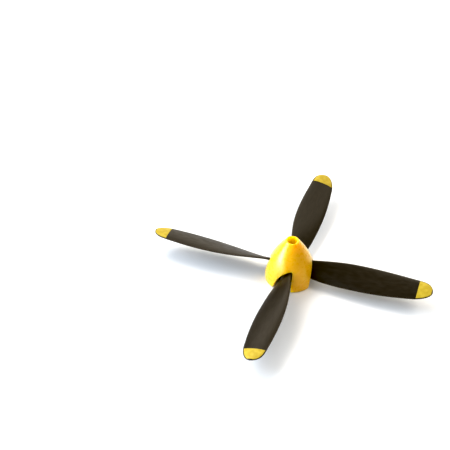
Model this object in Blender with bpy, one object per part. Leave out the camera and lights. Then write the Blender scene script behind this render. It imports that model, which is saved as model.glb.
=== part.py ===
"""Four-blade propeller with a spinner, for a micro model aeroplane.

It stands on its back, nose up: +Z is the shaft's axis and points forwards, and the origin is the
centre of the adapter's rear face, level with the spinner's rim. Blade 1 lies along +X. Seen from
the front the propeller turns anticlockwise, so each blade leads with its +Y side turned to its
own azimuth, and that edge is the higher one. Lengths are in metres.
"""

import math

import bmesh
import bpy
from mathutils import Matrix, Vector

MM = 0.001

# Driving dimensions
PROP_RADIUS = 65 * MM
PITCH = 79 * MM  # advance in one turn, over the outer two thirds of the blade
SPINNER_RADIUS = 11.5 * MM
SPINNER_TOP = 21.7 * MM
BLADES = 4
BLADE_Z = 6.9 * MM  # height of the blades' pitch axis at the hub

# Gaps between pieces
SEAM = 0.05 * MM  # faces that bear on each other
RUNNING_GAP = 0.08 * MM  # hub bore round the adapter's shank

# Adapter: the metal driver that the motor's shaft goes into
FLANGE_RADIUS = 4.5 * MM
FLANGE_THICKNESS = 1.2 * MM
SHANK_RADIUS = 2 * MM
SHANK_TOP = 11.8 * MM
SHAFT_BORE_RADIUS = 1 * MM
SHAFT_BORE_DEPTH = 5.5 * MM
THREAD_RADIUS = 1.05 * MM
THREAD_BOTTOM = 6.3 * MM
ADAPTER_CHAMFER = 0.2 * MM
SERRATIONS = 12
SERRATION_WIDTH = 0.4 * MM
SERRATION_DEPTH = 0.25 * MM

# Hub: a square block, one flat for each blade, with a raised collar in front
HUB_FLAT = 5.5 * MM  # from the axis to a flat
HUB_CORNER = 2.5 * MM
HUB_BOTTOM = FLANGE_THICKNESS + SEAM
HUB_TOP = 11.4 * MM
COLLAR_RADIUS = 5 * MM
COLLAR_HEIGHT = 0.8 * MM
SOCKET_INNER = 3.2 * MM

# Blade
ROOT_X = HUB_FLAT + SEAM
SPIGOT_RADIUS = 1.5 * MM
SPIGOT_GAP = 0.05 * MM
SPIGOT_INNER = SOCKET_INNER + 0.1 * MM
TWIST_EASE = 6 * MM  # holds the twist back near the hub
# Radius, leading half chord and trailing half chord, from the hub outwards
PLANFORM = [
    (5.5 * MM, 3.7 * MM, 3.7 * MM),
    (10 * MM, 4.2 * MM, 4.2 * MM),
    (17 * MM, 5.4 * MM, 5.2 * MM),
    (26 * MM, 6.65 * MM, 5.85 * MM),
    (36 * MM, 7.05 * MM, 6.2 * MM),
    (46 * MM, 6.7 * MM, 5.95 * MM),
    (56 * MM, 5.85 * MM, 5.1 * MM),
    (65 * MM, 4.9 * MM, 4.2 * MM),
]
ROOT_THICKNESS = 1.3 * MM
TIP_THICKNESS = 0.8 * MM
ROOT_FLARE = 1.6 * MM  # added thickness where the blade meets the hub
FLARE_LENGTH = 3 * MM
CAMBER = 0.045  # of the chord
TIP_RISE = 2.4 * MM  # how far forwards the blade curves at its tip
LEADING_TIP_START = 57 * MM
TRAILING_TIP_START = 55 * MM
HALF_SECTION = 10  # steps across each face of a section
INNER_STATIONS = 12
TIP_STATIONS = 8
LAST_TIP_ANGLE = math.radians(85)

# Yellow film on the front of each tip
FILM_START = 58.3 * MM
FILM_THICKNESS = 0.08 * MM
FILM_GAP = 0.03 * MM
FILM_EDGE = 0.03  # share of the chord left bare at each edge
FILM_END_STATIONS = 1  # stations left bare at the very tip

# Spinner shell
SPINNER_RIM = 0.2 * MM  # height of the rim, just clear of what the adapter stands on
SHELL_WALL = 1 * MM
WALL_ACROSS = 1.2 * SHELL_WALL  # the sloping wall, measured across the axis
OGIVE_START = 1.5 * MM
OGIVE_POWER = 1.85
NOSE_RADIUS = 3.1 * MM
NOSE_ROUND = 0.35 * MM
RIM_ROUND = 0.4 * MM
NOSE_HOLE_RADIUS = 2.15 * MM
TUBE_RADIUS = NOSE_HOLE_RADIUS + 0.95 * MM
FOOT_BOTTOM = HUB_TOP + COLLAR_HEIGHT + SEAM
FOOT_THICKNESS = 1 * MM
FOOT_TOP = FOOT_BOTTOM + FOOT_THICKNESS
FOOT_RADIUS = 4.9 * MM
SCREW_HOLE_RADIUS = 1.15 * MM
OGIVE_STEPS = 11
PEG_RADIUS = 0.6 * MM
PEG_OFFSET = 3.75 * MM
PEG_LENGTH = 1.3 * MM
PEG_GAP = 0.06 * MM
# Notch for a blade, measured along the tangent from the blade's axis
NOTCH_LEADING = 3.2 * MM
NOTCH_TRAILING = 5.3 * MM
NOTCH_TOP = 10.8 * MM
NOTCH_POWER = 1.75  # 2 would be a quarter ellipse, 1 a straight slope
NOTCH_STEPS = 12

# Screw and washer
WASHER_RADIUS = 1.95 * MM
WASHER_HOLE = 1.1 * MM
WASHER_THICKNESS = 0.3 * MM
WASHER_BOTTOM = FOOT_TOP + SEAM
HEAD_BOTTOM = WASHER_BOTTOM + WASHER_THICKNESS + SEAM
HEAD_RADIUS = 1.85 * MM
HEAD_HEIGHT = 1.35 * MM
SCREW_RADIUS = 0.95 * MM
SCREW_TIP = THREAD_BOTTOM + 0.6 * MM
SCREW_POINT = 0.5 * MM
CROSS_WIDTH = 0.5 * MM
CROSS_LENGTH = 2.1 * MM
CROSS_DEPTH = 0.8 * MM

ROUND = 36
SPINNER_ROUND = 56
SMALL_ROUND = 20
FAR = 20 * MM  # past everything, for a cutter that goes right through


def clear_scene():
    for obj in list(bpy.data.objects):
        bpy.data.objects.remove(obj, do_unlink=True)


def material(name, colour, roughness, metallic=0.0):
    made = bpy.data.materials.new(name)
    made.use_nodes = True
    shader = made.node_tree.nodes["Principled BSDF"]
    shader.inputs["Base Color"].default_value = (*colour, 1)
    shader.inputs["Roughness"].default_value = roughness
    shader.inputs["Metallic"].default_value = metallic
    made.diffuse_color = (*colour, 1)
    return made


def object_from(bm, name, paint=None):
    """A linked object made from bm, with its faces pointing out and its round faces smooth."""
    bmesh.ops.recalc_face_normals(bm, faces=bm.faces)
    mesh = bpy.data.meshes.new(name)
    bm.to_mesh(mesh)
    bm.free()
    mesh.shade_smooth()
    mesh.set_sharp_from_angle(angle=math.radians(35))
    obj = bpy.data.objects.new(name, mesh)
    bpy.context.scene.collection.objects.link(obj)
    if paint:
        mesh.materials.append(paint)
    return obj


def bridge(bm, loops):
    """Quads between each loop of vertices and the next, with a cap on both ends."""
    for low, high in zip(loops, loops[1:]):
        for i in range(len(low)):
            j = (i + 1) % len(low)
            bm.faces.new((low[i], low[j], high[j], high[i]))
    bm.faces.new(loops[0])
    bm.faces.new(loops[-1])


def turned(name, profile, steps, paint=None):
    """A closed profile of (radius, height) points turned about Z."""
    bm = bmesh.new()
    rings = []
    for step in range(steps):
        turn = Matrix.Rotation(2 * math.pi * step / steps, 3, "Z")
        rings.append([bm.verts.new(turn @ Vector((r, 0, z))) for r, z in profile])
    for k, ring in enumerate(rings):
        following = rings[(k + 1) % steps]
        for i in range(len(profile)):
            j = (i + 1) % len(profile)
            bm.faces.new((ring[i], ring[j], following[j], following[i]))
    return object_from(bm, name, paint)


def cylinder(name, radius, low, high, steps=SMALL_ROUND, centre=(0, 0)):
    """A helper cylinder standing along Z."""
    bm = bmesh.new()
    bmesh.ops.create_cone(
        bm, cap_ends=True, segments=steps, radius1=radius, radius2=radius, depth=high - low
    )
    bmesh.ops.translate(bm, verts=bm.verts, vec=(*centre, (low + high) / 2))
    return object_from(bm, name)


def box(name, low, high):
    """A helper box between two corners."""
    bm = bmesh.new()
    size = Vector(high) - Vector(low)
    bmesh.ops.create_cube(bm, size=1)
    bmesh.ops.scale(bm, verts=bm.verts, vec=size)
    bmesh.ops.translate(bm, verts=bm.verts, vec=(Vector(low) + Vector(high)) / 2)
    return object_from(bm, name)


def boolean(obj, helper, operation):
    """Joins or cuts obj with a helper, which isn't part of the model."""
    helper.hide_render = True
    helper.display_type = "WIRE"
    modifier = obj.modifiers.new(helper.name, "BOOLEAN")
    modifier.operation = operation
    modifier.object = helper


def azimuth_of(number):
    """Direction of blade 1, 2, 3 or 4 round the axis, in radians."""
    return 2 * math.pi * (number - 1) / BLADES


# --- Blade ---------------------------------------------------------------------------------------


def half_chord(r, column):
    """A smooth curve through one column of the planform's table."""
    last = len(PLANFORM) - 1
    i = max([k for k in range(last) if r >= PLANFORM[k][0]], default=0)

    def slope(k):
        before, after = PLANFORM[max(k - 1, 0)], PLANFORM[min(k + 1, last)]
        return (after[column] - before[column]) / (after[0] - before[0])

    start, end = PLANFORM[i], PLANFORM[i + 1]
    width = end[0] - start[0]
    t = (r - start[0]) / width
    return (
        start[column] * (1 + 2 * t) * (1 - t) ** 2
        + slope(i) * width * t * (1 - t) ** 2
        + end[column] * t * t * (3 - 2 * t)
        + slope(i + 1) * width * t * t * (t - 1)
    )


def share_between(r, start, end):
    return min(1, max(0, (r - start) / (end - start)))


def leading_edge(r):
    """Distance along the chord from the pitch axis to the leading edge, rounded off at the tip."""
    tip = share_between(r, LEADING_TIP_START, PROP_RADIUS)
    return half_chord(r, 1) * math.sqrt(1 - tip**3)


def trailing_edge(r):
    """The same to the trailing edge, as a negative distance."""
    tip = share_between(r, TRAILING_TIP_START, PROP_RADIUS)
    return -half_chord(r, 2) * math.sqrt(1 - tip**2)


def thickness(r):
    plain = ROOT_THICKNESS + (TIP_THICKNESS - ROOT_THICKNESS) * share_between(r, ROOT_X, PROP_RADIUS)
    flare = ROOT_FLARE * (1 - share_between(r, ROOT_X, ROOT_X + FLARE_LENGTH)) ** 2
    tip = share_between(r, TRAILING_TIP_START, PROP_RADIUS)
    return (plain + flare) * math.sqrt(1 - 0.85 * tip**6)


def pitch_angle(r):
    return math.atan2(PITCH, 2 * math.pi * math.hypot(r, TWIST_EASE))


def blade_point(r, along, up):
    """A point of blade 1: along its chord from the pitch axis, and up from the chord line."""
    angle = pitch_angle(r)
    height = BLADE_Z + TIP_RISE * share_between(r, ROOT_X, PROP_RADIUS) ** 2
    across = along * math.cos(angle) - up * math.sin(angle)
    return Vector((r, across, height + along * math.sin(angle) + up * math.cos(angle)))


def section_point(r, share, side, lift=0.0):
    """A point on the front (side 1) or back (side -1) face of the section at r, or lifted off it.

    Share runs from 0 at the leading edge to 1 at the trailing edge.
    """
    leading, trailing = leading_edge(r), trailing_edge(r)
    curved = share_between(r, ROOT_X, ROOT_X + FLARE_LENGTH)
    camber = 4 * CAMBER * (leading - trailing) * curved * share * (1 - share)
    fullness = math.sqrt(1 - abs(2 * share - 1) ** 3) * (1.1 - 0.3 * share)
    up = camber + side * thickness(r) / 2 * fullness + lift
    return blade_point(r, leading + (trailing - leading) * share, up)


def spread(start, end, steps):
    """Values from start to end, closer together at both ends."""
    shares = [(1 - math.cos(math.pi * k / steps)) / 2 for k in range(steps + 1)]
    return [start + (end - start) * share for share in shares]


def tip_stations():
    """Radii in the rounded tip, closer together at its end."""
    step = LAST_TIP_ANGLE / TIP_STATIONS
    length = PROP_RADIUS - FILM_START
    return [FILM_START + length * math.sin(step * k) for k in range(TIP_STATIONS + 1)]


def section_loop(bm, r):
    shares = spread(0, 1, HALF_SECTION)
    front = [section_point(r, share, 1) for share in shares]
    back = [section_point(r, share, -1) for share in reversed(shares[1:-1])]
    return [bm.verts.new(p) for p in front + back]


def spigot_loop(bm, x):
    """A circle with as many points as a section, starting on the leading edge's side."""
    count = 2 * HALF_SECTION
    loop = []
    for k in range(count):
        turn = pitch_angle(ROOT_X) + 2 * math.pi * k / count
        offset = SPIGOT_RADIUS * Vector((0, math.cos(turn), math.sin(turn)))
        loop.append(bm.verts.new(Vector((x, 0, BLADE_Z)) + offset))
    return loop


def make_blade(number, paint):
    bm = bmesh.new()
    span = FILM_START - ROOT_X
    inner = [ROOT_X + span * k / INNER_STATIONS for k in range(INNER_STATIONS)]
    inner.insert(1, ROOT_X + FLARE_LENGTH / 3)
    loops = [spigot_loop(bm, SPIGOT_INNER), spigot_loop(bm, ROOT_X)]
    loops += [section_loop(bm, r) for r in inner + tip_stations()]
    bridge(bm, loops)
    blade = object_from(bm, f"blade_{number}", paint)
    blade.rotation_euler.z = azimuth_of(number)


def make_tip_film(number, paint):
    """A thin skin on the front face of the tip, short of the blade's edges."""
    bm = bmesh.new()
    shares = spread(FILM_EDGE, 1 - FILM_EDGE, HALF_SECTION)
    loops = []
    for r in tip_stations()[:-FILM_END_STATIONS]:
        top = [section_point(r, share, 1, FILM_GAP + FILM_THICKNESS) for share in shares]
        under = [section_point(r, share, 1, FILM_GAP) for share in reversed(shares)]
        loops.append([bm.verts.new(p) for p in top + under])
    bridge(bm, loops)
    film = object_from(bm, f"tip_film_{number}", paint)
    film.rotation_euler.z = azimuth_of(number)


# --- Hub and adapter -----------------------------------------------------------------------------


def socket_cutter(number):
    """The round socket for a blade's spigot."""
    cutter = cylinder(f"socket_{number}", SPIGOT_RADIUS + SPIGOT_GAP, SOCKET_INNER, FAR)
    cutter.data.transform(Matrix.Rotation(math.pi / 2, 4, "Y"))
    cutter.location.z = BLADE_Z
    cutter.rotation_euler.z = azimuth_of(number)
    return cutter


def round_upright_edges(block):
    """A Bevel on the edges along Z alone."""
    bevel = block.modifiers.new("corners", "BEVEL")
    bevel.width = HUB_CORNER
    bevel.segments = 5
    bevel.limit_method = "WEIGHT"
    weights = block.data.attributes.new("bevel_weight_edge", "FLOAT", "EDGE")
    for edge in block.data.edges:
        a, b = (block.data.vertices[k].co for k in edge.vertices)
        weights.data[edge.index].value = float(a.xy == b.xy)


def make_hub(paint):
    hub = box("rotor_hub", (-HUB_FLAT, -HUB_FLAT, HUB_BOTTOM), (HUB_FLAT, HUB_FLAT, HUB_TOP))
    hub.data.materials.append(paint)
    round_upright_edges(hub)
    collar_top = HUB_TOP + COLLAR_HEIGHT
    boolean(hub, cylinder("hub_collar", COLLAR_RADIUS, HUB_TOP - MM, collar_top, ROUND), "UNION")
    boolean(hub, cylinder("hub_bore", SHANK_RADIUS + RUNNING_GAP, -MM, FAR, ROUND), "DIFFERENCE")
    for number in range(1, BLADES + 1):
        boolean(hub, socket_cutter(number), "DIFFERENCE")
    hole_floor = FOOT_BOTTOM - PEG_LENGTH - PEG_GAP
    for side in (-1, 1):
        place = (side * PEG_OFFSET, 0)
        hole = cylinder(f"peg_hole_{side}", PEG_RADIUS + PEG_GAP, hole_floor, FAR, centre=place)
        boolean(hub, hole, "DIFFERENCE")


def make_adapter(paint):
    """Flange and shank, with the motor's shaft bore behind and the screw's thread in front."""
    profile = [
        (SHAFT_BORE_RADIUS, 0),
        (FLANGE_RADIUS - ADAPTER_CHAMFER, 0),
        (FLANGE_RADIUS, ADAPTER_CHAMFER),
        (FLANGE_RADIUS, FLANGE_THICKNESS),
        (SHANK_RADIUS, FLANGE_THICKNESS),
        (SHANK_RADIUS, SHANK_TOP - ADAPTER_CHAMFER),
        (SHANK_RADIUS - ADAPTER_CHAMFER, SHANK_TOP),
        (THREAD_RADIUS, SHANK_TOP),
        (THREAD_RADIUS, THREAD_BOTTOM),
        (SHAFT_BORE_RADIUS / 2, (THREAD_BOTTOM + SHAFT_BORE_DEPTH) / 2),
        (SHAFT_BORE_RADIUS, SHAFT_BORE_DEPTH),
    ]
    adapter = turned("prop_adapter", profile, ROUND, paint)
    half = SERRATION_WIDTH / 2
    floor = FLANGE_THICKNESS - SERRATION_DEPTH
    for k in range(SERRATIONS):
        groove = box(f"serration_{k}", (SHANK_RADIUS + MM / 2, -half, floor), (FAR, half, floor + MM))
        groove.rotation_euler.z = 2 * math.pi * (k + 0.5) / SERRATIONS
        boolean(adapter, groove, "DIFFERENCE")


# --- Spinner -------------------------------------------------------------------------------------


def ogive(z):
    """The spinner's outer radius at a height."""
    climb = share_between(z, OGIVE_START, SPINNER_TOP - NOSE_ROUND)
    return SPINNER_RADIUS - (SPINNER_RADIUS - NOSE_RADIUS) * climb**OGIVE_POWER


def spinner_profile():
    """The closed outline of the shell, with its nose tube and the tube's foot."""
    rise = SPINNER_TOP - NOSE_ROUND - OGIVE_START
    climbs = [OGIVE_START + rise * k / OGIVE_STEPS for k in range(OGIVE_STEPS + 1)]
    outside = [(SPINNER_RADIUS - RIM_ROUND, SPINNER_RIM), (SPINNER_RADIUS, SPINNER_RIM + RIM_ROUND)]
    outside += [(ogive(z), z) for z in climbs]
    outside.append((NOSE_RADIUS - NOSE_ROUND, SPINNER_TOP))
    tube = [
        (NOSE_HOLE_RADIUS, SPINNER_TOP),
        (NOSE_HOLE_RADIUS, FOOT_TOP),
        (SCREW_HOLE_RADIUS, FOOT_TOP),
        (SCREW_HOLE_RADIUS, FOOT_BOTTOM),
        (FOOT_RADIUS, FOOT_BOTTOM),
        (FOOT_RADIUS, FOOT_TOP),
        (TUBE_RADIUS, FOOT_TOP),
    ]
    hollow = [z for z in climbs if ogive(z) - WALL_ACROSS > TUBE_RADIUS + SHELL_WALL / 2]
    inside = [(TUBE_RADIUS, hollow[-1])]
    inside += [(ogive(z) - WALL_ACROSS, z) for z in reversed(hollow)]
    inside.append((SPINNER_RADIUS - SHELL_WALL, SPINNER_RIM))
    return outside + tube + inside


def notch_outline():
    """The opening for a blade: straight beside the leading edge, sloping over the trailing half."""
    below = SPINNER_RIM - MM
    points = [(NOTCH_LEADING, below)]
    for k in range(NOTCH_STEPS + 1):
        angle = math.pi / 2 * k / NOTCH_STEPS
        across = math.sin(angle) ** (2 / NOTCH_POWER)
        up = max(0, math.cos(angle)) ** (2 / NOTCH_POWER)
        points.append((NOTCH_LEADING - (NOTCH_LEADING + NOTCH_TRAILING) * across, NOTCH_TOP * up))
    points.append((-NOTCH_TRAILING, below))
    return points


def notch_cutter(number):
    """The notch's outline carried outwards through the wall."""
    bm = bmesh.new()
    loops = []
    for x in (FOOT_RADIUS + MM, FAR):
        loops.append([bm.verts.new((x, y, z)) for y, z in notch_outline()])
    bridge(bm, loops)
    cutter = object_from(bm, f"notch_{number}")
    cutter.rotation_euler.z = azimuth_of(number)
    return cutter


def make_spinner(paint):
    spinner = turned("spinner_shell", spinner_profile(), SPINNER_ROUND, paint)
    low, high = FOOT_BOTTOM - PEG_LENGTH, FOOT_BOTTOM + FOOT_THICKNESS / 2
    for side in (-1, 1):
        peg = cylinder(f"peg_{side}", PEG_RADIUS, low, high, centre=(side * PEG_OFFSET, 0))
        boolean(spinner, peg, "UNION")
    for number in range(1, BLADES + 1):
        boolean(spinner, notch_cutter(number), "DIFFERENCE")


# --- Screw and washer ----------------------------------------------------------------------------


def make_washer(paint):
    top = WASHER_BOTTOM + WASHER_THICKNESS
    profile = [
        (WASHER_HOLE, WASHER_BOTTOM),
        (WASHER_RADIUS, WASHER_BOTTOM),
        (WASHER_RADIUS, top),
        (WASHER_HOLE, top),
    ]
    turned("screw_washer", profile, ROUND, paint)


def make_screw(paint):
    """A pan-head screw with a cross recess."""
    rings = [
        (0.6 * SCREW_RADIUS, SCREW_TIP),
        (SCREW_RADIUS, SCREW_TIP + SCREW_POINT),
        (SCREW_RADIUS, HEAD_BOTTOM),
        (HEAD_RADIUS, HEAD_BOTTOM),
    ]
    side = HEAD_HEIGHT * 0.35
    for angle in (0, 25, 50, 75):
        dome = math.radians(angle)
        radius = HEAD_RADIUS * (0.45 + 0.55 * math.cos(dome))
        rings.append((radius, HEAD_BOTTOM + side + (HEAD_HEIGHT - side) * math.sin(dome)))
    bm = bmesh.new()
    loops = []
    for radius, z in rings:
        turns = [2 * math.pi * k / ROUND for k in range(ROUND)]
        loops.append([bm.verts.new((radius * math.cos(a), radius * math.sin(a), z)) for a in turns])
    bridge(bm, loops)
    screw = object_from(bm, "retaining_screw", paint)
    floor = HEAD_BOTTOM + HEAD_HEIGHT - CROSS_DEPTH
    half, wide = CROSS_LENGTH / 2, CROSS_WIDTH / 2
    for name, x, y in (("cross_a", half, wide), ("cross_b", wide, half)):
        boolean(screw, box(name, (-x, -y, floor), (x, y, FAR)), "DIFFERENCE")


def main():
    clear_scene()
    yellow = material("spinner_yellow", (0.95, 0.62, 0.03), 0.3)
    black = material("blade_black", (0.028, 0.026, 0.022), 0.42)
    film = material("tip_yellow", (0.86, 0.66, 0.07), 0.5)
    alloy = material("adapter_alloy", (0.75, 0.76, 0.78), 0.3, 1.0)
    steel = material("screw_steel", (0.55, 0.55, 0.57), 0.3, 1.0)
    make_adapter(alloy)
    make_hub(black)
    for number in range(1, BLADES + 1):
        make_blade(number, black)
        make_tip_film(number, film)
    make_spinner(yellow)
    make_washer(steel)
    make_screw(steel)


main()
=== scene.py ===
"""The looks of a four-blade model aeroplane propeller with a spinner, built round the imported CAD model.

Lengths are in metres, in the model's own frame: +Z is the shaft's axis, blade 1 lies along +X, and
seen from the front the propeller turns anticlockwise.
"""

import math

import bmesh
import bpy
from mathutils import Matrix, Vector


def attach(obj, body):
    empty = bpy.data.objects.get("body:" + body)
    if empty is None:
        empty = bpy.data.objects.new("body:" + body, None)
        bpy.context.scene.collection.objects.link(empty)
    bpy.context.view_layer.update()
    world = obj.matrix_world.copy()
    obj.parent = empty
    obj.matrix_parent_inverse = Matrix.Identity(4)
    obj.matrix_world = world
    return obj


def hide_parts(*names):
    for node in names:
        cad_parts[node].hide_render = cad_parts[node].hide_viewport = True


MM = 0.001
MERGE = 1e-4 * MM  # points closer than this are one

# Camera
CAMERA_PLACE = Vector((0.0953, -0.4249, 0.4049))
CAMERA_HEADING = math.radians(16.64)
CAMERA_ELEVATION = math.radians(40.84)
CAMERA_ROLL = math.radians(1.77)
CAMERA_LENS = 103.8
CAMERA_SENSOR = 36
CAMERA_CLIP = 0.01

# Stage
FILM_GAMMA = 0.75
FILM_BLACK = (0.015, 0.022, 0.04)  # scene brightness that prints as black
FLOOR_SIZE = 4
FLOOR_CELLS = 8
LIGHT_DISTANCE = 0.9
ROOM_LIGHT = 0.55
DAYLIGHT = (0.76, 0.87, 1.0)
LAMPLIGHT = (1.0, 0.94, 0.84)
# Name, azimuth and elevation in degrees, width and height in metres, power in watts, and colour
SOFTBOXES = [
    ("left_window", 300, 13, 0.6, 0.3, 6.5, DAYLIGHT),
    ("left_low", 315, 6, 0.8, 0.16, 3.0, DAYLIGHT),
    ("left_high", 290, 40, 0.6, 0.4, 4.4, DAYLIGHT),
    ("backdrop", 185, 24, 0.9, 0.7, 3.5, LAMPLIGHT),
    ("back_high", 240, 50, 0.5, 0.34, 4.0, LAMPLIGHT),
    ("right_high", 120, 50, 0.6, 0.34, 3.0, LAMPLIGHT),
]

# Finishes
NOISE_LOW = 0.35  # most of a noise texture's values lie between these two
NOISE_HIGH = 0.65
WEAR_AND_HIGHLIGHT_START = 0.4  # noise values between which edge wear sets in, and on the spinner its painted edge highlight
WEAR_AND_HIGHLIGHT_END = 0.7
RING_SPACING = 0.3  # roughly what lies between the rings of a wave texture of scale 1
RING_WOBBLE = 0.6

# Meshes
SHARP_ANGLE = 40  # degrees between two faces from which their edge is shaded as sharp
CUT_SHARP_ANGLE = 35  # the same on a piece with cuts in it
BLADE_SHARP_ANGLE = 50
TURNED_STEPS = 96  # points in a turned piece's circle
CUTTER_STEPS = 48
CORNER_STEPS = 4
CORNER_SHARE = 0.4  # the most of a side that the rounding of one corner takes up

# Blades, as in the CAD model, but with slightly fuller tips
BLADES = 4
PROP_RADIUS = 65 * MM
PITCH = 79 * MM  # advance in one turn
BLADE_Z = 6.9 * MM  # height of the blades' pitch axis at the hub
ROOT_X = 5.55 * MM
TWIST_EASE = 6 * MM  # holds the twist back near the hub
PLANFORM = [
    # Radius, and half chord to the leading and to the trailing edge
    (5.5 * MM, 3.7 * MM, 3.7 * MM),
    (10 * MM, 4.2 * MM, 4.2 * MM),
    (17 * MM, 5.4 * MM, 5.2 * MM),
    (26 * MM, 6.65 * MM, 5.85 * MM),
    (36 * MM, 7.05 * MM, 6.2 * MM),
    (46 * MM, 6.7 * MM, 5.95 * MM),
    (56 * MM, 5.85 * MM, 5.1 * MM),
    (65 * MM, 4.9 * MM, 4.2 * MM),
]
ROOT_THICKNESS = 1.3 * MM
TIP_THICKNESS = 0.8 * MM
ROOT_FLARE = 1.6 * MM  # extra thickness at the very root
FLARE_LENGTH = 3 * MM
CAMBER = 0.045  # share of the chord
SECTION_POWER = 3  # a higher one makes the section blunter
NOSE_FULLNESS = 1.1  # thickness towards the leading edge, as a share of the plain one
TAIL_TAPER = 0.3  # how much less it is at the trailing edge
TIP_RISE = 2.4 * MM  # how far forwards the blade bends by its tip
LEADING_TIP_START = 57 * MM
LEADING_TIP_POWER = 4  # a higher one makes the tip squarer
TRAILING_TIP_START = 55 * MM
TRAILING_TIP_POWER = 2.5
TIP_THINNING = 0.85  # share of the square of the thickness that is gone at the end of the tip
TIP_THINNING_POWER = 6  # a higher one starts the thinning later
LAST_TIP_ANGLE = math.radians(88)  # the tip's sections crowd like points on an arc up to this
SPIGOT_RADIUS = 1.5 * MM
SPIGOT_INNER = 3.3 * MM
SPIGOT_CHAMFER = 0.25 * MM
EDGE_WEAR = 0.9 * MM  # how far in from an edge its wear reaches
SECTION_STEPS = 28
SPAN_STEPS = 64
SPAN_CROWDING = 1.3  # above 1, the sections are closer together towards the root
TIP_STEPS = 22

# Yellow film on the tips
FILM_START = 58.3 * MM
FILM_GAP = 0.02 * MM
FILM_THICKNESS = 0.05 * MM
FILM_MARGIN = 0.4 * MM  # left bare along the edges of the blade
FILM_STEPS = 22

# Spinner, as in the CAD model, but for the mouth of its nose hole and the inside of its notches
SPINNER_RADIUS = 11.5 * MM
SPINNER_TOP = 21.7 * MM
SPINNER_RIM = 0.2 * MM
WALL_ACROSS = 1.2 * MM  # thickness of the shell's wall, measured level
OGIVE_START = 1.5 * MM
OGIVE_POWER = 1.85  # 1 makes a cone, and a higher one a fuller shape
NOSE_RADIUS = 3.1 * MM
NOSE_ROUND = 0.35 * MM
NOSE_HOLE_RADIUS = 2.15 * MM
NOTCH_LEADING = 3.2 * MM
NOTCH_TRAILING = 5.3 * MM
NOTCH_INNER_TRAILING = 4.5 * MM  # the notch narrows inwards on its curved side
NOTCH_TOP = 10.8 * MM
NOTCH_POWER = 1.75  # of the curved side, where 2 makes a quarter of an ellipse
EDGE_ROUND = 0.2 * MM  # rounding of the wall's edge along the rim and the notches
EDGE_ROUND_STEPS = 4
CORNER_ROUNDS = 6  # passes that round the corners of the notches
INNER_CORNER_ROUNDS = 16  # the same on the inside, where the grid's columns are closer together
TUBE_RADIUS = 3.1 * MM
FOOT_BOTTOM = 12.25 * MM
FOOT_TOP = 13.25 * MM
FOOT_RADIUS = 4.9 * MM
SCREW_HOLE_RADIUS = 1.15 * MM
CEILING = 17.6 * MM
PEG_RADIUS = 0.6 * MM
PEG_OFFSET = 3.75 * MM
PEG_BOTTOM = 10.95 * MM
PEG_GAP = 0.06 * MM
PEG_STEPS = 24  # points in a peg's circle
RIM_COLUMNS = 28
CURVE_COLUMNS = 34
EDGE_COLUMNS = 22
FAN_ROWS = 60
FAN_LEAN = 0.1  # radians that the top of the grid is turned by, which keeps its columns apart
HIGHLIT_ROWS = 2  # rows next to the lower edge that its painted highlight reaches
MOUTH_RADIUS = 2.5 * MM  # the nose hole flares out to this
MOUTH_DEPTH = 1.2 * MM

# Hub, adapter, washer and screw, as in the CAD model
HUB_FLAT = 5.5 * MM
HUB_CORNER = 2.5 * MM
HUB_BOTTOM = 1.25 * MM
HUB_TOP = 11.4 * MM
HUB_EDGE = 0.25 * MM
COLLAR_RADIUS = 5 * MM
COLLAR_TOP = 12.2 * MM
BORE_RADIUS = 2.08 * MM
SOCKET_INNER = 3.2 * MM
SOCKET_GAP = 0.05 * MM
FLANGE_RADIUS = 4.5 * MM
FLANGE_THICKNESS = 1.2 * MM
SHANK_RADIUS = 2 * MM
SHANK_TOP = 11.8 * MM
SHAFT_BORE_RADIUS = 1 * MM
SHAFT_BORE_DEPTH = 5.5 * MM
THREAD_RADIUS = 1.05 * MM
THREAD_BOTTOM = 6.3 * MM
ADAPTER_EDGE = 0.15 * MM
ADAPTER_STEPS = 240  # points in its circle
SERRATIONS = 12
SERRATION_DEPTH = 0.25 * MM
SERRATION_SHARE = 0.12  # half a groove's width, as a share of the way to the next groove
SERRATION_CLEAR = 0.5 * MM  # smooth ring between the shank and the grooves
WASHER_RADIUS = 1.95 * MM
WASHER_HOLE = 1.1 * MM
WASHER_BOTTOM = 13.3 * MM
WASHER_TOP = 13.6 * MM
WASHER_EDGE = 0.08 * MM
SCREW_RADIUS = 0.95 * MM
SCREW_TIP = 6.9 * MM
SCREW_POINT = 0.5 * MM
SCREW_POINT_SHARE = 0.6  # radius of the screw's end, as a share of the shank's
SCREW_EDGE = 0.1 * MM
SCREW_STEPS = 48
THREAD_PITCH = 0.4 * MM
THREAD_DEPTH = 0.2 * MM
THREAD_RELIEF = 0.4 * MM  # plain shank under the head
THREAD_ROWS = 8  # rows of faces in one turn
HEAD_BOTTOM = 13.65 * MM
HEAD_RADIUS = 1.85 * MM
HEAD_HEIGHT = 1.35 * MM
HEAD_SIDE = 0.35  # share of the height that is a straight side
DOME_SHARE = 0.45  # radius where the dome levels out, as a share of the head's
HEAD_FLAT_SHARE = 0.4  # radius of the flat top, likewise
DOME_STEPS = 10
CROSS_WIDTH = 0.5 * MM
CROSS_LENGTH = 2.1 * MM
CROSS_DEPTH = 0.8 * MM
CROSS_TAPER = 0.75  # width and length at the bottom, as a share of those at the top


# --- Helpers -------------------------------------------------------------------------------------


def shade(mesh, sharp_angle):
    """Smooth shading, apart from edges where the faces meet at this many degrees or more."""
    mesh.shade_smooth()
    mesh.set_sharp_from_angle(angle=math.radians(sharp_angle))


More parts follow.
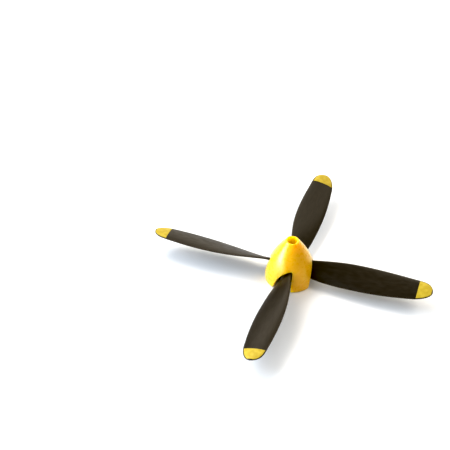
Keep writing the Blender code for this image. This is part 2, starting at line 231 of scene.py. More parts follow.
def object_from(bm, name, paint, sharp_angle=SHARP_ANGLE):
    """A linked object made from bm, with its faces pointing out."""
    bmesh.ops.remove_doubles(bm, verts=bm.verts, dist=MERGE)
    bmesh.ops.recalc_face_normals(bm, faces=bm.faces)
    mesh = bpy.data.meshes.new(name)
    bm.to_mesh(mesh)
    bm.free()
    shade(mesh, sharp_angle)
    mesh.materials.append(paint)
    obj = bpy.data.objects.new(name, mesh)
    bpy.context.scene.collection.objects.link(obj)
    return obj


def helper_cylinder(radius, length):
    """A cutter standing on Z, with its middle at the origin."""
    bm = bmesh.new()
    bmesh.ops.create_cone(
        bm, cap_ends=True, segments=CUTTER_STEPS, radius1=radius, radius2=radius, depth=length
    )
    return object_from(bm, "cutter", None)


def cut(obj, cutter):
    """Cuts a cutter out of an object, and removes the cutter."""
    modifier = obj.modifiers.new("cut", "BOOLEAN")
    modifier.operation = "DIFFERENCE"
    modifier.object = cutter
    graph = bpy.context.evaluated_depsgraph_get()
    mesh = bpy.data.meshes.new_from_object(obj.evaluated_get(graph), depsgraph=graph)
    obj.modifiers.remove(modifier)
    obj.data = mesh
    bpy.data.objects.remove(cutter)


def weigh_normals(obj):
    """Lets the large faces set the shading, so that rounded edges leave them looking flat."""
    modifier = obj.modifiers.new("weighted_normals", "WEIGHTED_NORMAL")
    modifier.keep_sharp = True


def bridge_rows(bm, loops):
    """Quads between each loop of vertices and the next."""
    count = len(loops[0])
    for low, high in zip(loops, loops[1:]):
        for i in range(count):
            j = (i + 1) % count
            bm.faces.new((low[i], low[j], high[j], high[i]))


def loft(bm, loops):
    """A closed body through the loops, with a flat face at each end."""
    bridge_rows(bm, loops)
    bm.faces.new(loops[0])
    bm.faces.new(loops[-1])


def polar(radius, azimuth, z):
    """A place at this distance from Z, and this way round it."""
    return Vector((radius * math.cos(azimuth), radius * math.sin(azimuth), z))


def circle(radius, z, steps):
    return [polar(radius, 2 * math.pi * k / steps, z) for k in range(steps)]


def ring_of(bm, points):
    return [bm.verts.new(p) for p in points]


def turned(name, profile, paint, steps=TURNED_STEPS, shape=None, closed=True):
    """A profile of (radius, height) points turned about Z, with each point then moved by shape."""
    bm = bmesh.new()
    loops = []
    for radius, z in profile:
        points = circle(radius, z, steps)
        loops.append(ring_of(bm, [shape(p) for p in points] if shape else points))
    bridge_rows(bm, loops + loops[:1] if closed else loops)
    return object_from(bm, name, paint)


def rounded(profile, radius, closed=True):
    """A profile with each corner replaced by a short arc-like curve, apart from an open one's ends."""
    out = []
    count = len(profile)
    for i in range(count):
        before, here, after = (Vector(profile[k % count]) for k in (i - 1, i, i + 1))
        if not closed and i in (0, count - 1):
            out.append(tuple(here))
            continue
        shorter = min((before - here).length, (after - here).length)
        reach = min(radius, CORNER_SHARE * shorter)
        start = here + (before - here).normalized() * reach
        end = here + (after - here).normalized() * reach
        for k in range(CORNER_STEPS + 1):
            out.append(tuple(bent(start, here, end, k / CORNER_STEPS)))
    return out


def bent(start, corner, end, t):
    """A point of the curve that leaves start and reaches end along the lines from the corner."""
    return start * (1 - t) ** 2 + corner * 2 * t * (1 - t) + end * t * t


def azimuth_of(number):
    return 2 * math.pi * (number - 1) / BLADES


def place(obj, body, slot, *nodes):
    """Puts a piece on its body, in place of the CAD nodes that it stands for."""
    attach(obj, body)
    if nodes:
        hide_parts(*nodes)


# --- Materials -----------------------------------------------------------------------------------


class Paint:
    """A node material under construction: its Principled shader and the nodes that feed it."""

    def __init__(self, name, colour, roughness, **constants):
        self.material = bpy.data.materials.new(name)
        self.material.use_nodes = True
        self.nodes = self.material.node_tree.nodes
        self.links = self.material.node_tree.links
        self.shader = self.nodes["Principled BSDF"]
        self.set("Base Color", (*colour, 1))
        self.set("Roughness", roughness)
        for socket, value in constants.items():
            self.set(socket.replace("_", " "), value)
        self.coordinates = self.nodes.new("ShaderNodeTexCoord").outputs["Object"]
        self.colour = None
        self.normal = None

    def set(self, socket, value):
        self.shader.inputs[socket].default_value = value

    def join(self, source, node, socket):
        self.links.new(source, node.inputs[socket])

    def noise(self, size, detail=3.0, stretch=(1, 1, 1)):
        """Noise with features of about this size, stretched along X, Y or Z."""
        mapping = self.nodes.new("ShaderNodeMapping")
        mapping.inputs["Scale"].default_value = [1 / s for s in stretch]
        self.join(self.coordinates, mapping, "Vector")
        texture = self.nodes.new("ShaderNodeTexNoise")
        texture.inputs["Scale"].default_value = 1 / size
        texture.inputs["Detail"].default_value = detail
        self.join(mapping.outputs["Vector"], texture, "Vector")
        return texture.outputs["Fac"]

    def rings(self, size):
        """Fine turning marks this far apart, in rings round the origin."""
        texture = self.nodes.new("ShaderNodeTexWave")
        texture.wave_type = "RINGS"
        texture.rings_direction = "SPHERICAL"
        texture.inputs["Scale"].default_value = RING_SPACING / size
        texture.inputs["Distortion"].default_value = RING_WOBBLE
        self.join(self.coordinates, texture, "Vector")
        return texture.outputs["Fac"]

    def spread(self, source, low, high, start=NOISE_LOW, end=NOISE_HIGH):
        """The source's values between start and end, spread from low to high."""
        node = self.nodes.new("ShaderNodeMapRange")
        for socket, value in (("From Min", start), ("From Max", end), ("To Min", low), ("To Max", high)):
            node.inputs[socket].default_value = value
        self.join(source, node, "Value")
        return node.outputs["Result"]

    def mix_base(self, colour, amount):
        """Makes the base colour a mix with this one by the amount, and returns the node."""
        mix = self.nodes.new("ShaderNodeMix")
        mix.data_type = "RGBA"
        mix.inputs["B"].default_value = (*colour, 1)
        self.join(amount, mix, "Factor")
        self.colour = mix.outputs["Result"]
        self.join(self.colour, self.shader, "Base Color")
        return mix

    def colour_between(self, source, first, second):
        """Base colour from first to second as the source, a noise, goes from low to high."""
        mix = self.mix_base(second, self.spread(source, 0, 1))
        mix.inputs["A"].default_value = (*first, 1)

    def attribute(self, name):
        node = self.nodes.new("ShaderNodeAttribute")
        node.attribute_name = name
        return node.outputs["Fac"]

    def tint(self, colour, amount):
        """Base colour so far moved towards this one by the amount."""
        before = self.colour
        self.join(before, self.mix_base(colour, amount), "A")

    def edge_wear_and_highlight(self, colour, size):
        """Towards this colour where the piece's edge attribute is high, in patches of this size. This is
        wear on the blades and the tips, and a painted highlight on the spinner.
        """
        amount = self.nodes.new("ShaderNodeMath")
        amount.operation = "MULTIPLY"
        self.join(self.attribute("edge"), amount, 0)
        self.join(self.spread(self.noise(size, 4), 0, 1, WEAR_AND_HIGHLIGHT_START, WEAR_AND_HIGHLIGHT_END), amount, 1)
        self.tint(colour, amount.outputs["Value"])

    def roughness(self, source, low, high):
        self.join(self.spread(source, low, high), self.shader, "Roughness")

    def bump(self, source, depth):
        """Adds relief of this depth on top of any relief there is."""
        node = self.nodes.new("ShaderNodeBump")
        node.inputs["Strength"].default_value = 1
        node.inputs["Distance"].default_value = depth
        self.join(source, node, "Height")
        if self.normal:
            self.join(self.normal, node, "Normal")
        self.normal = node.outputs["Normal"]
        self.join(self.normal, self.shader, "Normal")


# --- Blades --------------------------------------------------------------------------------------


def half_chord(r, column):
    """A smooth curve through one column of the planform's table."""
    last = len(PLANFORM) - 1
    i = max([k for k in range(last) if r >= PLANFORM[k][0]], default=0)

    def slope(k):
        before, after = PLANFORM[max(k - 1, 0)], PLANFORM[min(k + 1, last)]
        return (after[column] - before[column]) / (after[0] - before[0])

    start, end = PLANFORM[i], PLANFORM[i + 1]
    width = end[0] - start[0]
    t = (r - start[0]) / width
    return (
        start[column] * (1 + 2 * t) * (1 - t) ** 2
        + slope(i) * width * t * (1 - t) ** 2
        + end[column] * t * t * (3 - 2 * t)
        + slope(i + 1) * width * t * t * (t - 1)
    )


def share_between(r, start, end):
    return min(1, max(0, (r - start) / (end - start)))


def leading_edge(r):
    """Distance along the chord from the pitch axis to the leading edge, rounded off at the tip."""
    tip = share_between(r, LEADING_TIP_START, PROP_RADIUS)
    return half_chord(r, 1) * math.sqrt(1 - tip**LEADING_TIP_POWER)


def trailing_edge(r):
    """The same to the trailing edge, as a negative distance."""
    tip = share_between(r, TRAILING_TIP_START, PROP_RADIUS)
    return -half_chord(r, 2) * math.sqrt(1 - tip**TRAILING_TIP_POWER)


def chord(r):
    """The blade's width at r."""
    return leading_edge(r) - trailing_edge(r)


def thickness(r):
    plain = ROOT_THICKNESS + (TIP_THICKNESS - ROOT_THICKNESS) * share_between(r, ROOT_X, PROP_RADIUS)
    flare = ROOT_FLARE * (1 - share_between(r, ROOT_X, ROOT_X + FLARE_LENGTH)) ** 2
    tip = share_between(r, TRAILING_TIP_START, PROP_RADIUS)
    return (plain + flare) * math.sqrt(1 - TIP_THINNING * tip**TIP_THINNING_POWER)


def pitch_angle(r):
    return math.atan2(PITCH, 2 * math.pi * math.hypot(r, TWIST_EASE))


def blade_point(r, along, up):
    """A point of blade 1: along its chord from the pitch axis, and up from the chord line."""
    angle = pitch_angle(r)
    height = BLADE_Z + TIP_RISE * share_between(r, ROOT_X, PROP_RADIUS) ** 2
    across = along * math.cos(angle) - up * math.sin(angle)
    return Vector((r, across, height + along * math.sin(angle) + up * math.cos(angle)))


def section_point(r, share, side, lift=0.0):
    """A point on the front (side 1) or back (side -1) face of the section at r, or lifted off it.

    Share runs from 0 at the leading edge to 1 at the trailing edge.
    """
    leading, trailing = leading_edge(r), trailing_edge(r)
    curved = share_between(r, ROOT_X, ROOT_X + FLARE_LENGTH)
    camber = 4 * CAMBER * (leading - trailing) * curved * share * (1 - share)
    fullness = math.sqrt(1 - abs(2 * share - 1) ** SECTION_POWER)
    fullness *= NOSE_FULLNESS - TAIL_TAPER * share
    up = camber + side * thickness(r) / 2 * fullness + lift
    return blade_point(r, leading + (trailing - leading) * share, up)


def spread(start, end, steps):
    """Values from start to end, closer together at both ends."""
    shares = [(1 - math.cos(math.pi * k / steps)) / 2 for k in range(steps + 1)]
    return [start + (end - start) * share for share in shares]


def tip_stations(steps):
    """Radii in the rounded tip, closer together at its end."""
    length = PROP_RADIUS - FILM_START
    return [FILM_START + length * math.sin(LAST_TIP_ANGLE * k / steps) for k in range(steps + 1)]


def from_edges(r, share):
    """Distance along the chord from a point of the section at r to the nearer edge."""
    return min(share, 1 - share) * chord(r)


def worn_at(distance):
    """The edge attribute at this distance from an edge."""
    return max(0, 1 - distance / EDGE_WEAR)


def spigot_loop(bm, x, radius):
    """A circle with as many points as a section, starting on the leading edge's side."""
    count = 2 * SECTION_STEPS
    loop = []
    for k in range(count):
        turn = pitch_angle(ROOT_X) + 2 * math.pi * k / count
        offset = radius * Vector((0, math.cos(turn), math.sin(turn)))
        loop.append(bm.verts.new(Vector((x, 0, BLADE_Z)) + offset))
    return loop


def make_blade(number, paint):
    """A blade with the round spigot that sits in the hub. Its edge attribute is 1 along both edges."""
    bm = bmesh.new()
    edge = bm.verts.layers.float.new("edge")
    shares = spread(0, 1, SECTION_STEPS)
    loops = [
        spigot_loop(bm, SPIGOT_INNER, SPIGOT_RADIUS - SPIGOT_CHAMFER),
        spigot_loop(bm, SPIGOT_INNER + SPIGOT_CHAMFER, SPIGOT_RADIUS),
        spigot_loop(bm, ROOT_X, SPIGOT_RADIUS),
    ]
    span = FILM_START - ROOT_X
    inner = [ROOT_X + span * (k / SPAN_STEPS) ** SPAN_CROWDING for k in range(SPAN_STEPS)]
    for r in inner + tip_stations(TIP_STEPS):
        loop = []
        for side, row in ((1, shares), (-1, shares[-2:0:-1])):
            for share in row:
                vertex = bm.verts.new(section_point(r, share, side))
                vertex[edge] = worn_at(from_edges(r, share))
                loop.append(vertex)
        loops.append(loop)
    loft(bm, loops)
    blade = object_from(bm, f"moulded_blade_{number}", paint, BLADE_SHARP_ANGLE)
    blade.rotation_euler.z = azimuth_of(number)
    place(blade, "rotor", "blade_black", f"blade_{number}")


def film_shares(r):
    """Where the film lies across the section at r, clear of both edges."""
    margin = FILM_MARGIN / chord(r)
    return spread(margin, 1 - margin, SECTION_STEPS)


def make_tip_film(number, paint):
    """The yellow skin on the front of a tip. Its edge attribute is 1 along its outer edge."""
    bm = bmesh.new()
    edge = bm.verts.layers.float.new("edge")
    loops = []
    for r in tip_stations(FILM_STEPS):
        if r >= PROP_RADIUS - FILM_MARGIN:
            break
        shares = film_shares(r)
        loop = []
        for lift, row in ((FILM_GAP + FILM_THICKNESS, shares), (FILM_GAP, shares[::-1])):
            for share in row:
                vertex = bm.verts.new(section_point(r, share, 1, lift))
                vertex[edge] = worn_at(min(from_edges(r, share), PROP_RADIUS - r))
                loop.append(vertex)
        loops.append(loop)
    loft(bm, loops)
    film = object_from(bm, f"yellow_tip_{number}", paint, BLADE_SHARP_ANGLE)
    film.rotation_euler.z = azimuth_of(number)
    place(film, "rotor", "tip_yellow", f"tip_film_{number}")


# --- Spinner -------------------------------------------------------------------------------------


def ogive(z):
    """The spinner's outer radius at a height."""
    climb = share_between(z, OGIVE_START, SPINNER_TOP - NOSE_ROUND)
    return SPINNER_RADIUS - (SPINNER_RADIUS - NOSE_RADIUS) * climb**OGIVE_POWER


def hollow(z):
    """The radius of the shell's inside at a height."""
    return ogive(z) - WALL_ACROSS


def lower_edge(surface, trailing, corner_rounds):
    """The shell's lower edge once round, as azimuths and heights on its inner or outer surface.

    For each blade it runs along the rim to the notch, up its curved trailing side, and down its
    straight leading side.
    """
    width = NOTCH_LEADING + trailing
    points = []
    for number in range(1, BLADES + 1):
        here, following = azimuth_of(number), azimuth_of(number + 1)
        start = here + math.asin(NOTCH_LEADING / surface(SPINNER_RIM))
        end = following - math.asin(trailing / surface(SPINNER_RIM))
        for k in range(RIM_COLUMNS):
            points.append(Vector((start + (end - start) * k / RIM_COLUMNS, SPINNER_RIM)))
        for k in range(CURVE_COLUMNS):
            angle = math.pi / 2 * (1 - k / CURVE_COLUMNS)
            along = NOTCH_LEADING - width * math.sin(angle) ** (2 / NOTCH_POWER)
            z = max(SPINNER_RIM, NOTCH_TOP * math.cos(angle) ** (2 / NOTCH_POWER))
            points.append(Vector((following + math.asin(along / surface(z)), z)))
        for k in range(EDGE_COLUMNS):
            z = NOTCH_TOP + (SPINNER_RIM - NOTCH_TOP) * k / EDGE_COLUMNS
            points.append(Vector((following + math.asin(NOTCH_LEADING / surface(z)), z)))
    for _ in range(corner_rounds):
        points = [(a + 2 * b + c) / 4 for a, b, c in neighbours(points)]
    return points


def neighbours(points):
    """Each point of a line once round the axis, with the one before it and the one after it."""
    full_turn = Vector((2 * math.pi, 0))
    before = [points[-1] - full_turn, *points[:-1]]
    after = [*points[1:], points[0] + full_turn]
    return zip(before, points, after)


def set_in(points, surface, distance):
    """The lower edge moved into the shell's wall, along its surface."""
    out = []
    for before, here, after in neighbours(points):
        radius = surface(here.y)
        along = Vector(((after.x - before.x) * radius, after.y - before.y)).normalized()
        out.append(here + distance * Vector((-along.y / radius, along.x)))
    return out


def on_surface(point, surface):
    """A place in space from an azimuth and a height."""
    azimuth, z = point
    return polar(surface(z), azimuth, z)


def fan(edge, top, surface):
    """Rows of points from the lower edge up to a level circle, on one surface of the shell."""
    out = []
    for k in range(FAN_ROWS + 1):
        share = k / FAN_ROWS
        out.append([on_surface(a.lerp(b, share), surface) for a, b in zip(edge, top)])
    return out


def nose_profile():
    """From the ogive's end over the nose, down the tube, round its foot, and up to the ceiling."""
    shoulder = SPINNER_TOP - NOSE_ROUND
    corners = [
        (ogive(shoulder - NOSE_ROUND), shoulder - NOSE_ROUND),
        (NOSE_RADIUS - NOSE_ROUND / 2, SPINNER_TOP),
        (MOUTH_RADIUS, SPINNER_TOP),
        (NOSE_HOLE_RADIUS, SPINNER_TOP - MOUTH_DEPTH),
        (NOSE_HOLE_RADIUS, FOOT_TOP),
        (SCREW_HOLE_RADIUS, FOOT_TOP),
        (SCREW_HOLE_RADIUS, FOOT_BOTTOM),
        (FOOT_RADIUS, FOOT_BOTTOM),
        (FOOT_RADIUS, FOOT_TOP),
        (TUBE_RADIUS, FOOT_TOP),
        (TUBE_RADIUS, CEILING),
        (hollow(CEILING), CEILING),
        (hollow(CEILING - 2 * NOSE_ROUND), CEILING - 2 * NOSE_ROUND),
    ]
    return rounded(corners, NOSE_ROUND, closed=False)


def wall_rows(edge, inner_edge):
    """Rows across the thickness of the wall along its lower edge, from inside to outside."""
    outside = [on_surface(p, ogive) for p in edge]
    inside = [on_surface(p, hollow) for p in inner_edge]
    outer_start = [on_surface(p, ogive) for p in set_in(edge, ogive, EDGE_ROUND)]
    inner_start = [on_surface(p, hollow) for p in set_in(inner_edge, hollow, EDGE_ROUND)]
    steps = [k / EDGE_ROUND_STEPS for k in range(EDGE_ROUND_STEPS + 1)]
    rows = []
    for corner, start, other, shares in (
        (inside, inner_start, outside, steps[1:]),
        (outside, outer_start, inside, steps[:0:-1]),
    ):
        for t in shares:
            row = []
            for here, first, across in zip(corner, start, other):
                last = here + (across - here).normalized() * EDGE_ROUND
                row.append(bent(first, here, last, t))
            rows.append(row)
    return rows


def add_peg(bm, x):
    """A keying pin under the foot, with a rounded end."""
    profile = [(PEG_RADIUS, (FOOT_BOTTOM + FOOT_TOP) / 2), (PEG_RADIUS, PEG_BOTTOM), (0, PEG_BOTTOM)]
    loops = []
    for radius, z in rounded(profile, PEG_RADIUS / 2, closed=False):
        loops.append(ring_of(bm, [p + Vector((x, 0, 0)) for p in circle(radius, z, PEG_STEPS)]))
    bridge_rows(bm, loops)
    bm.faces.new(loops[0])


def shell_rows():
    """The shell as rows of one grid: up its outside, over the nose, down its inside, and across."""
    edge = lower_edge(ogive, NOTCH_TRAILING, CORNER_ROUNDS)
    inner_edge = lower_edge(hollow, NOTCH_INNER_TRAILING, INNER_CORNER_ROUNDS)
    apex = RIM_COLUMNS + CURVE_COLUMNS
    start = edge[apex].x + FAN_LEAN
    count = len(edge)
    azimuths = [start + 2 * math.pi * (i - apex) / count for i in range(count)]
    profile = nose_profile()
    outer_top = [Vector((a, profile[0][1])) for a in azimuths]
    inner_top = [Vector((a, profile[-1][1])) for a in azimuths]
    rows = fan(set_in(edge, ogive, EDGE_ROUND), outer_top, ogive)
    for radius, z in profile[1:-1]:
        rows.append([polar(radius, a, z) for a in azimuths])
    rows += reversed(fan(set_in(inner_edge, hollow, EDGE_ROUND), inner_top, hollow))
    rows += wall_rows(edge, inner_edge)
    return rows


def make_spinner(paint):
    """The shell and its pegs. Its edge attribute is 1 along the lower edge, where the paint puts a
    painted highlight, and its bore attribute is 1 in the nose hole, which the paint lightens as painted
    light.
    """
    bm = bmesh.new()
    highlit_edge = bm.verts.layers.float.new("edge")
    bore = bm.verts.layers.float.new("bore")
    loops = [ring_of(bm, row) for row in shell_rows()]
    # the rows along the lower edge, which get the spinner's painted highlight
    for loop in (*loops[:HIGHLIT_ROWS], *loops[-2 * EDGE_ROUND_STEPS :]):
        for vertex in loop:
            vertex[highlit_edge] = 1
    for vertex in bm.verts:
        vertex[bore] = vertex.co.z > FOOT_TOP and vertex.co.xy.length < MOUTH_RADIUS
    bridge_rows(bm, [*loops, loops[0]])
    for side in (-1, 1):
        add_peg(bm, side * PEG_OFFSET)
    spinner = object_from(bm, "moulded_spinner", paint)
    weigh_normals(spinner)
    place(spinner, "spinner", "spinner_yellow", "spinner_shell")


# --- Hub, adapter, washer and screw --------------------------------------------------------------


def square_hub(point):
    """Moves a circle's point out to a square with round corners, outside the collar."""
    flat = point.xy.length
    if flat <= COLLAR_RADIUS + HUB_EDGE:
        return point
    ray = point.xy / flat
    ray = Vector((max(abs(ray.x), abs(ray.y)), min(abs(ray.x), abs(ray.y))))
    centre = flat - HUB_CORNER
    if ray.y / ray.x <= centre / flat:
        radius = flat / ray.x
    else:
        across = centre * (ray.x + ray.y)
        radius = across + math.sqrt(across**2 - 2 * centre**2 + HUB_CORNER**2)
    return Vector((*(point.xy / flat * radius), point.z))


def cut_sockets(hub):
    """A round socket in each flat, for the spigot of a blade."""
    for number in range(1, BLADES + 1):
        cutter = helper_cylinder(SPIGOT_RADIUS + SOCKET_GAP, 2 * HUB_FLAT - SOCKET_INNER)
        turn = Matrix.Rotation(azimuth_of(number), 4, "Z") @ Matrix.Rotation(math.pi / 2, 4, "Y")
        cutter.data.transform(turn)
        middle = (SOCKET_INNER + 2 * HUB_FLAT) / 2
        cutter.data.transform(Matrix.Translation(turn @ Vector((0, 0, middle))))
        cutter.data.transform(Matrix.Translation((0, 0, BLADE_Z)))
        cut(hub, cutter)


def cut_peg_holes(hub):
    """The two holes in the collar that take the spinner's pegs."""
    for side in (-1, 1):
        cutter = helper_cylinder(PEG_RADIUS + PEG_GAP, 2 * (COLLAR_TOP - PEG_BOTTOM + PEG_GAP))
        cutter.data.transform(Matrix.Translation((side * PEG_OFFSET, 0, COLLAR_TOP)))
        cut(hub, cutter)


def make_hub(paint):
    """The square block that carries the blades, with its round collar in front."""
    corners = [
        (BORE_RADIUS, HUB_BOTTOM),
        (HUB_FLAT, HUB_BOTTOM),
        (HUB_FLAT, HUB_TOP),
        (COLLAR_RADIUS, HUB_TOP),
        (COLLAR_RADIUS, COLLAR_TOP),
        (BORE_RADIUS, COLLAR_TOP),
    ]
    hub = turned("moulded_hub", rounded(corners, HUB_EDGE), paint, shape=square_hub)
    cut_sockets(hub)
    cut_peg_holes(hub)
    shade(hub.data, CUT_SHARP_ANGLE)
    weigh_normals(hub)
    place(hub, "rotor", "blade_black", "rotor_hub")


def serrated(point):
    """Presses radial grooves into the front of the flange, which grip the hub."""
    radius = point.xy.length
    if radius < SHANK_RADIUS + SERRATION_CLEAR or point.z < FLANGE_THICKNESS - ADAPTER_EDGE:
        return point
    if radius > FLANGE_RADIUS + MERGE:
        return point
    turns = math.atan2(point.y, point.x) / (2 * math.pi) * SERRATIONS
    depth = SERRATION_DEPTH * max(0, 1 - abs(turns - math.floor(turns) - 0.5) / SERRATION_SHARE)
    return point - Vector((0, 0, depth))


def make_adapter(paint):
    """Flange and shank, with the motor's shaft bore behind and the screw's thread in front."""
    corners = [
        (SHAFT_BORE_RADIUS, 0),
        (FLANGE_RADIUS, 0),
        (FLANGE_RADIUS, FLANGE_THICKNESS),
        (SHANK_RADIUS + SERRATION_CLEAR, FLANGE_THICKNESS),
        (SHANK_RADIUS, FLANGE_THICKNESS),
        (SHANK_RADIUS, SHANK_TOP),
        (THREAD_RADIUS, SHANK_TOP),
        (THREAD_RADIUS, THREAD_BOTTOM),
        (SHAFT_BORE_RADIUS / 2, (THREAD_BOTTOM + SHAFT_BORE_DEPTH) / 2),
        (SHAFT_BORE_RADIUS, SHAFT_BORE_DEPTH),
    ]
    profile = rounded(corners, ADAPTER_EDGE)
    adapter = turned("turned_adapter", profile, paint, ADAPTER_STEPS, serrated)
    weigh_normals(adapter)
    place(adapter, "adapter", "adapter_alloy", "prop_adapter")


def make_washer(paint):
    corners = [
        (WASHER_HOLE, WASHER_BOTTOM),
        (WASHER_RADIUS, WASHER_BOTTOM),
        (WASHER_RADIUS, WASHER_TOP),
        (WASHER_HOLE, WASHER_TOP),
    ]
    washer = turned("pressed_washer", rounded(corners, WASHER_EDGE), paint)
    place(washer, "spinner", "screw_steel", "screw_washer")


def threaded(point):
    """Cuts a helical thread into the screw's shank."""
    radius = point.xy.length
    if point.z > HEAD_BOTTOM - THREAD_RELIEF or radius < MERGE:
        return point
    turns = point.z / THREAD_PITCH - math.atan2(point.y, point.x) / (2 * math.pi)
    depth = THREAD_DEPTH * (1 - abs(2 * (turns - math.floor(turns)) - 1))
    shrink = max(0, radius - depth) / radius
    return Vector((point.x * shrink, point.y * shrink, point.z))


def shank_profile():
    """The screw's point and its shank, in rows close enough to cut a thread into."""
    length = HEAD_BOTTOM - SCREW_TIP - SCREW_POINT
    rows = round(length / THREAD_PITCH * THREAD_ROWS)
    point = [(0, SCREW_TIP), (SCREW_POINT_SHARE * SCREW_RADIUS, SCREW_TIP)]
    start = SCREW_TIP + SCREW_POINT
    return point + [(SCREW_RADIUS, start + length * k / rows) for k in range(rows)]


def head_profile():
    """The screw's pan head, from its shank round to the middle of its domed top."""
    top = HEAD_BOTTOM + HEAD_HEIGHT
    side = HEAD_BOTTOM + HEAD_HEIGHT * HEAD_SIDE
    corners = [(SCREW_RADIUS, HEAD_BOTTOM), (HEAD_RADIUS, HEAD_BOTTOM), (HEAD_RADIUS, side)]
    profile = rounded(corners, SCREW_EDGE, closed=False)
    for k in range(1, DOME_STEPS):
        dome = math.pi / 2 * k / DOME_STEPS
        radius = HEAD_RADIUS * (DOME_SHARE + (1 - DOME_SHARE) * math.cos(dome))
        profile.append((radius, side + (top - side) * math.sin(dome)))
    return [*profile, (HEAD_FLAT_SHARE * HEAD_RADIUS, top), (0, top)]


def cut_recess(screw):
    """The cross recess, as two tapered slots."""
    for turn in (0, math.pi / 2):
        bm = bmesh.new()
        bmesh.ops.create_cube(bm, size=1)
        bmesh.ops.scale(bm, verts=bm.verts, vec=(CROSS_LENGTH, CROSS_WIDTH, 2 * CROSS_DEPTH))
        for vertex in bm.verts:
            if vertex.co.z < 0:
                vertex.co.xy *= CROSS_TAPER
        bmesh.ops.translate(bm, verts=bm.verts, vec=(0, 0, HEAD_BOTTOM + HEAD_HEIGHT))
        cutter = object_from(bm, "cutter", None)
        cutter.data.transform(Matrix.Rotation(turn, 4, "Z"))
        cut(screw, cutter)


def make_screw(paint):
    """A pan-head screw with a cross recess."""
    profile = shank_profile() + head_profile()
    screw = turned("pan_head_screw", profile, paint, SCREW_STEPS, threaded, closed=False)
    cut_recess(screw)
    shade(screw.data, CUT_SHARP_ANGLE)
    place(screw, "spinner", "screw_steel", "retaining_screw")


# --- Colours and finishes ------------------------------------------------------------------------


def spinner_plastic():
    """Glossy golden yellow plastic that lets a little light through."""
    paint = Paint("spinner_yellow", (0.9, 0.49, 0.018), 0.28, Subsurface_Weight=1, IOR=1.5)
    paint.set("Coat Weight", 0.5)
    paint.set("Coat Roughness", 0.25)
    paint.set("Sheen Weight", 0.5)
    paint.set("Sheen Roughness", 0.4)
    paint.set("Subsurface Radius", (0.8, 0.85, 0.2))
    paint.set("Subsurface Scale", 3 * MM)
    paint.colour_between(paint.noise(7 * MM, 2), (0.91, 0.505, 0.022), (0.89, 0.475, 0.014))
    # painted highlight: paler yellow in noise patches along the rim and the notches' edges, for light
    # caught by the thin edges
    paint.edge_wear_and_highlight((0.8, 0.52, 0.08), 0.8 * MM)
    # painted light: the inside of the nose hole is tinted a lighter gold, for light that shines through
    # its thin walls
    paint.tint((0.93, 0.7, 0.03), paint.attribute("bore"))
    paint.roughness(paint.noise(1.5 * MM, 4), 0.26, 0.31)
    paint.bump(paint.noise(2.6 * MM, 1), 0.01 * MM)
    paint.bump(paint.noise(0.12 * MM, 2), 0.002 * MM)
    return paint.material


def blade_plastic():
    """Dark brown glass-filled plastic, which flowed lengthwise into the mould."""
    paint = Paint("blade_black", (0.0135, 0.0095, 0.0085), 0.4, IOR=1.5)
    paint.colour_between(
        paint.noise(0.5 * MM, 4, stretch=(9, 1, 1)), (0.017, 0.012, 0.010), (0.010, 0.007, 0.007)
    )
    paint.edge_wear_and_highlight((0.06, 0.05, 0.04), 0.7 * MM)
    paint.roughness(paint.noise(1.2 * MM, 4, stretch=(3, 1, 1)), 0.33, 0.46)
    paint.bump(paint.noise(0.35 * MM, 3, stretch=(8, 1, 1)), 0.008 * MM)
    paint.bump(paint.noise(0.1 * MM, 2), 0.004 * MM)
    return paint.material


def tip_paint():
    """Brushed-on yellow, a little uneven."""
    paint = Paint("tip_yellow", (0.5, 0.375, 0.036), 0.5)
    paint.colour_between(paint.noise(1.6 * MM, 4), (0.53, 0.41, 0.058), (0.45, 0.335, 0.036))
    paint.edge_wear_and_highlight((0.34, 0.25, 0.03), 0.5 * MM)
    paint.roughness(paint.noise(0.9 * MM, 3), 0.42, 0.6)
    paint.bump(paint.noise(0.4 * MM, 3, stretch=(4, 1, 1)), 0.01 * MM)
    return paint.material


def alloy():
    """Turned aluminium."""
    paint = Paint("adapter_alloy", (0.78, 0.79, 0.8), 0.28, Metallic=1)
    paint.colour_between(paint.noise(2 * MM), (0.8, 0.81, 0.82), (0.7, 0.71, 0.73))
    paint.roughness(paint.noise(0.6 * MM, 3), 0.22, 0.36)
    paint.bump(paint.rings(0.08 * MM), 0.003 * MM)
    return paint.material


def steel():
    """Plated steel."""
    paint = Paint("screw_steel", (0.55, 0.55, 0.57), 0.3, Metallic=1)
    paint.colour_between(paint.noise(0.8 * MM), (0.6, 0.6, 0.61), (0.48, 0.48, 0.5))
    paint.roughness(paint.noise(0.4 * MM, 3), 0.24, 0.42)
    paint.bump(paint.noise(0.15 * MM, 2), 0.003 * MM)
    return paint.material


def floor_paint():
    paint = Paint("floor_white", (0.86, 0.86, 0.86), 0.7)
    paint.colour_between(paint.noise(60 * MM, 2), (0.87, 0.87, 0.87), (0.85, 0.85, 0.855))
    return paint.material


# --- Stage ---------------------------------------------------------------------------------------


def make_floor():
    bm = bmesh.new()
    bmesh.ops.create_grid(
        bm, x_segments=FLOOR_CELLS, y_segments=FLOOR_CELLS, size=FLOOR_SIZE / 2
    )
    floor = object_from(bm, "floor", floor_paint())


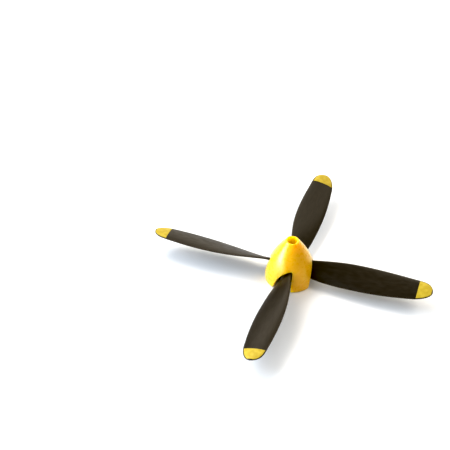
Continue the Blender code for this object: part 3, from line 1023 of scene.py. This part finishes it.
def make_softbox(name, azimuth, elevation, width, height, power, tint):
    """A light that faces the hub. Azimuth 0 is on the -Y side, and 90 on the +X side."""
    data = bpy.data.lights.new(name, "AREA")
    data.shape = "RECTANGLE"
    data.size = width
    data.size_y = height
    data.energy = power
    data.color = tint
    turn, tilt = math.radians(azimuth), math.radians(elevation)
    out = Vector((math.sin(turn) * math.cos(tilt), -math.cos(turn) * math.cos(tilt), math.sin(tilt)))
    light = bpy.data.objects.new(name, data)
    light.location = out * LIGHT_DISTANCE
    light.rotation_euler = out.to_track_quat("Z", "Y").to_euler()
    bpy.context.scene.collection.objects.link(light)


def light_room():
    """An even pale room."""
    world = bpy.data.worlds.new("studio")
    world.use_nodes = True
    bpy.context.scene.world = world
    world.node_tree.nodes["Background"].inputs["Color"].default_value = (1, 1, 1, 1)
    world.node_tree.nodes["Background"].inputs["Strength"].default_value = ROOM_LIGHT


def expose_film():
    """The photo's contrast: deep shadows, strong colours and a burnt-out floor."""
    view = bpy.context.scene.view_settings
    view.view_transform = "Standard"
    view.gamma = FILM_GAMMA
    view.use_curve_mapping = True
    view.curve_mapping.black_level = FILM_BLACK
    view.curve_mapping.update()


def make_camera():
    data = bpy.data.cameras.new("camera")
    data.lens = CAMERA_LENS
    data.sensor_width = CAMERA_SENSOR
    data.clip_start = CAMERA_CLIP
    camera = bpy.data.objects.new("camera", data)
    camera.location = CAMERA_PLACE
    turn = (
        Matrix.Rotation(CAMERA_HEADING, 3, "Z")
        @ Matrix.Rotation(math.pi / 2 - CAMERA_ELEVATION, 3, "X")
        @ Matrix.Rotation(CAMERA_ROLL, 3, "Z")
    )
    camera.rotation_euler = turn.to_euler()
    bpy.context.scene.collection.objects.link(camera)
    bpy.context.scene.camera = camera


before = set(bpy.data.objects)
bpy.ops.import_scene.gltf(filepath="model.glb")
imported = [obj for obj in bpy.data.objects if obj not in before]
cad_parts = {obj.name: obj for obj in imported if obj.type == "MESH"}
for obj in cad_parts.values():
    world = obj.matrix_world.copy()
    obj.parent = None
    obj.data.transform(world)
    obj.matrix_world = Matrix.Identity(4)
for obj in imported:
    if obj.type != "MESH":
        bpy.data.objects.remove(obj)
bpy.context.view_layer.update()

expose_film()
make_camera()
make_floor()
light_room()
for softbox in SOFTBOXES:
    make_softbox(*softbox)

black = blade_plastic()
yellow = tip_paint()
for number in range(1, BLADES + 1):
    make_blade(number, black)
    make_tip_film(number, yellow)
make_hub(black)
make_adapter(alloy())
make_spinner(spinner_plastic())
plated = steel()
make_washer(plated)
make_screw(plated)
